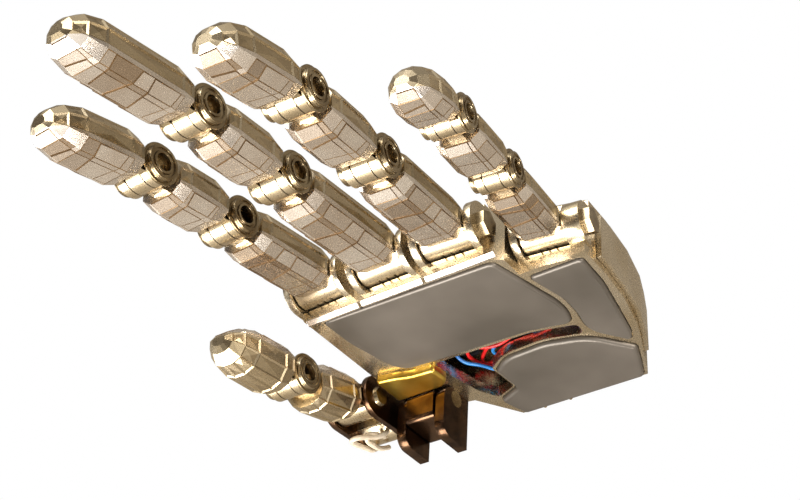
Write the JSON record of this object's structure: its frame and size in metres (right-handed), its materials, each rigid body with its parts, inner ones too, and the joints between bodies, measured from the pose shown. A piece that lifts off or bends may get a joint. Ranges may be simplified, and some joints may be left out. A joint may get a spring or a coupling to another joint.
{
  "type": "prosthetic hand",
  "caption": "Motor-driven left prosthetic hand with hinged, faceted metal fingers, an opposed thumb and a padded palm with exposed wiring.",
  "frame": {"origin": "centre of the wrist bolt pattern, on the wrist face", "axes": "+Z from the wrist to the fingertips, -Y out of the palm, -X to the thumb side"},
  "size_m": [0.1033, 0.0414, 0.1936],
  "materials": {
    "gold_casting": "champagne anodised, satin",
    "tile_pad": "pale champagne anodised, polished facets",
    "bearing_steel": "turned and tinted",
    "palm_skin": "satin grey-brown soft-touch coat",
    "dark_plate": "dark bronze, polished",
    "motor_can": "nickel plated",
    "board": "black solder mask",
    "connector": "moulded nylon",
    "wire_red": "PVC insulation",
    "wire_blue": "PVC insulation",
    "wire_violet": "PVC insulation",
    "wire_cream": "PVC insulation",
    "wire_black": "PVC insulation",
    "brass_contact": "gold flashed"
  },
  "bodies": {
    "palm": {"palm_frame": "gold_casting", "back_cover": "gold_casting", "ulnar_cover": "gold_casting", "knuckle_strips": "tile_pad", "central_pad": "palm_skin", "ulnar_pad": "palm_skin", "heel_pad": "palm_skin", "thenar_fairing": "gold_casting", "knuckle_pins": "bearing_steel", "finger_motors": "motor_can", "control_board": "board", "board_connectors": "connector", "wrist_plate": "gold_casting", "contact_pins": "brass_contact", "cover_screws": "bearing_steel", "thumb_base": "dark_plate", "thumb_gearbox": "dark_plate", "loom_red": "wire_red", "loom_blue": "wire_blue", "loom_violet": "wire_violet", "loom_cream": "wire_cream", "loom_black": "wire_black"},
    "index_proximal": {"index_proximal_shell": "gold_casting", "index_proximal_pad": "tile_pad"},
    "index_middle": {"index_middle_shell": "gold_casting", "index_middle_pad": "tile_pad", "index_axles": "bearing_steel"},
    "index_distal": {"index_distal_shell": "gold_casting", "index_distal_pad": "tile_pad"},
    "middle_proximal": {"middle_proximal_shell": "gold_casting", "middle_proximal_pad": "tile_pad"},
    "middle_middle": {"middle_middle_shell": "gold_casting", "middle_middle_pad": "tile_pad", "middle_axles": "bearing_steel"},
    "middle_distal": {"middle_distal_shell": "gold_casting", "middle_distal_pad": "tile_pad"},
    "ring_proximal": {"ring_proximal_shell": "gold_casting", "ring_proximal_pad": "tile_pad"},
    "ring_middle": {"ring_middle_shell": "gold_casting", "ring_middle_pad": "tile_pad", "ring_axles": "bearing_steel"},
    "ring_distal": {"ring_distal_shell": "gold_casting", "ring_distal_pad": "tile_pad"},
    "little_proximal": {"little_proximal_shell": "gold_casting", "little_proximal_pad": "tile_pad"},
    "little_middle": {"little_middle_shell": "gold_casting", "little_middle_pad": "tile_pad", "little_axles": "bearing_steel"},
    "little_distal": {"little_distal_shell": "gold_casting", "little_distal_pad": "tile_pad"},
    "thumb_metacarpal": {"thumb_metacarpal": "gold_casting", "thumb_side_plates": "dark_plate", "thumb_bolt": "bearing_steel", "thumb_pin": "bearing_steel", "thumb_cables": "wire_cream"},
    "thumb_proximal": {"thumb_proximal_shell": "gold_casting", "thumb_proximal_pad": "tile_pad"},
    "thumb_distal": {"thumb_distal_shell": "gold_casting", "thumb_distal_pad": "tile_pad", "thumb_axle": "bearing_steel"}
  },
  "joints": [
    {"name": "index_knuckle", "type": "hinge", "parent": "palm", "child": "index_proximal", "pos_m": [-0.0351, 0, 0.0734], "axis": [0.9991, 0, 0.0419], "range_deg": [-10, 55]},
    {"name": "index_middle_joint", "type": "hinge", "parent": "index_proximal", "child": "index_middle", "pos_m": [-0.03669, -0.00393, 0.11136], "axis": [0.9991, 0, 0.0419], "range_deg": [-13, 69.25]},
    {"name": "index_tip_joint", "type": "hinge", "parent": "index_middle", "child": "index_distal", "pos_m": [-0.0379, -0.00702, 0.14027], "axis": [0.9991, 0, 0.0419], "range_deg": [-8.5, 44.5]},
    {"name": "middle_knuckle", "type": "hinge", "parent": "palm", "child": "middle_proximal", "pos_m": [-0.0137, -0.0008, 0.074], "axis": [1, 0, 0.0052], "range_deg": [-10, 55]},
    {"name": "middle_middle_joint", "type": "hinge", "parent": "middle_proximal", "child": "middle_middle", "pos_m": [-0.01393, -0.00438, 0.11846], "axis": [1, 0, 0.0052], "range_deg": [-13, 69.25]},
    {"name": "middle_tip_joint", "type": "hinge", "parent": "middle_middle", "child": "middle_distal", "pos_m": [-0.0141, -0.00706, 0.14974], "axis": [1, 0, 0.0052], "range_deg": [-8.5, 44.5]},
    {"name": "ring_knuckle", "type": "hinge", "parent": "palm", "child": "ring_proximal", "pos_m": [0.0062, 0, 0.0734], "axis": [0.9976, 0, -0.0698], "range_deg": [-10, 55]},
    {"name": "ring_middle_joint", "type": "hinge", "parent": "ring_proximal", "child": "ring_middle", "pos_m": [0.00893, -0.0048, 0.11241], "axis": [0.9976, 0, -0.0698], "range_deg": [-13, 69.25]},
    {"name": "ring_tip_joint", "type": "hinge", "parent": "ring_middle", "child": "ring_distal", "pos_m": [0.01109, -0.00871, 0.14329], "axis": [0.9976, 0, -0.0698], "range_deg": [-8.5, 44.5]},
    {"name": "little_knuckle", "type": "hinge", "parent": "palm", "child": "little_proximal", "pos_m": [0.0273, 0.0008, 0.0606], "axis": [0.9914, 0, -0.1305], "range_deg": [-10, 55]},
    {"name": "little_middle_joint", "type": "hinge", "parent": "little_proximal", "child": "little_middle", "pos_m": [0.03128, -0.00283, 0.09082], "axis": [0.9914, 0, -0.1305], "range_deg": [-13, 69.25]},
    {"name": "little_tip_joint", "type": "hinge", "parent": "little_middle", "child": "little_distal", "pos_m": [0.03466, -0.00629, 0.11647], "axis": [0.9914, 0, -0.1305], "range_deg": [-8.5, 44.5]},
    {"name": "thumb_swing", "type": "hinge", "parent": "palm", "child": "thumb_metacarpal", "pos_m": [-0.0348, -0.0108, 0.021], "axis": [-1, 0, 0], "range_deg": [-30, 15]},
    {"name": "thumb_knuckle", "type": "hinge", "parent": "thumb_metacarpal", "child": "thumb_proximal", "pos_m": [-0.0522, -0.0114, 0.0342], "axis": [-1, 0, 0], "range_deg": [-5, 50]},
    {"name": "thumb_tip_joint", "type": "hinge", "parent": "thumb_proximal", "child": "thumb_distal", "pos_m": [-0.0522, -0.0194, 0.06384], "axis": [-1, 0, 0], "range_deg": [-6.5, 60.5]}
  ],
  "couplings": [
    {"joint": "index_middle_joint", "follows": "index_knuckle", "ratio": 1.25},
    {"joint": "index_tip_joint", "follows": "index_knuckle", "ratio": 0.8},
    {"joint": "middle_middle_joint", "follows": "middle_knuckle", "ratio": 1.25},
    {"joint": "middle_tip_joint", "follows": "middle_knuckle", "ratio": 0.8},
    {"joint": "ring_middle_joint", "follows": "ring_knuckle", "ratio": 1.25},
    {"joint": "ring_tip_joint", "follows": "ring_knuckle", "ratio": 0.8},
    {"joint": "little_middle_joint", "follows": "little_knuckle", "ratio": 1.25},
    {"joint": "little_tip_joint", "follows": "little_knuckle", "ratio": 0.8},
    {"joint": "thumb_tip_joint", "follows": "thumb_knuckle", "ratio": 1.2}
  ]
}
